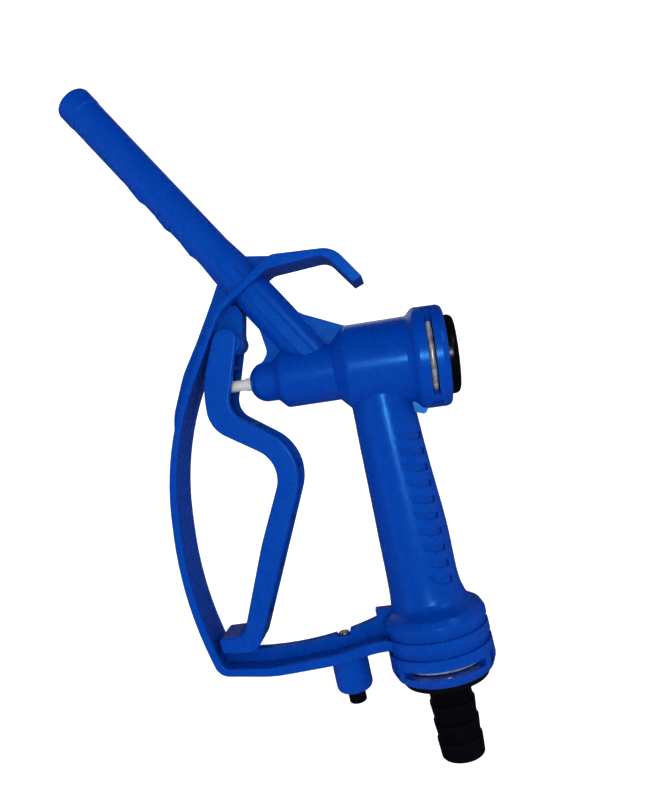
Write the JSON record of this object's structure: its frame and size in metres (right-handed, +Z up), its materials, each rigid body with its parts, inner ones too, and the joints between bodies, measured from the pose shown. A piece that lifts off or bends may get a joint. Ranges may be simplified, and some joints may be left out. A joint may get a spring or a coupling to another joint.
{
  "type": "hand dispensing nozzle",
  "caption": "Plastic hand-operated dispensing nozzle with straight spout, guard and hook, trigger-pushed valve, hold-open latch and swivelling barbed hose tail.",
  "frame": {"origin": "centre of the hose tail's free end", "axes": "+Z up the hose tail and the grip, +X to the rear (the plug), -X to the trigger, guard and spout, symmetric about Y = 0"},
  "size_m": [0.1769, 0.053, 0.3762],
  "materials": {
    "body_plastic": "satin moulded blue",
    "lever_plastic": "satin moulded blue",
    "black_plastic": "semi-gloss black",
    "white_acetal": "satin white",
    "seal_rubber": "matt",
    "steel": "drawn stainless",
    "clip_wire": "bright stainless wire"
  },
  "bodies": {
    "nozzle": {"nozzle_body": "body_plastic", "gland_bush": "white_acetal", "gland_o_ring_front": "seal_rubber", "gland_o_ring_rear": "seal_rubber", "valve_spring": "steel", "rear_plug": "black_plastic", "plug_o_ring": "seal_rubber", "rear_clip": "clip_wire", "tail_clip": "clip_wire", "latch_bush": "black_plastic", "latch_spring": "steel"},
    "trigger": {"trigger_lever": "lever_plastic", "trigger_pivot_pin": "steel"},
    "valve": {"valve_stem": "white_acetal", "valve_poppet": "white_acetal", "poppet_seal": "seal_rubber", "poppet_nut": "steel"},
    "latch": {"latch_button": "black_plastic", "latch_pin": "steel"},
    "tail": {"hose_tail": "black_plastic", "tail_o_ring_lower": "seal_rubber", "tail_o_ring_upper": "seal_rubber"}
  },
  "joints": [
    {"name": "trigger_pull", "type": "hinge", "parent": "nozzle", "child": "trigger", "pos_m": [-0.0706, 0, 0.227], "axis": [0, -1, 0], "range_deg": [0, 20], "stiffness_Nm_per_rad": 2, "springref_deg": -34.38},
    {"name": "valve_lift", "type": "slide", "parent": "nozzle", "child": "valve", "axis": [0.9977, 0, -0.0673], "range_m": [0, 0.00765], "deforming": ["valve_spring"]},
    {"name": "latch_press", "type": "slide", "parent": "nozzle", "child": "latch", "axis": [0, 0, 1], "range_m": [0, 0.005], "stiffness_N_per_m": 400, "springref_m": -0.006, "deforming": ["latch_spring"]},
    {"name": "tail_swivel", "type": "hinge", "parent": "nozzle", "child": "tail", "pos_m": [0, 0, 0], "axis": [0, 0, 1], "continuous": true}
  ],
  "couplings": [
    {"joint": "valve_lift", "follows": "trigger_pull", "m_per_rad": 0.02189}
  ]
}
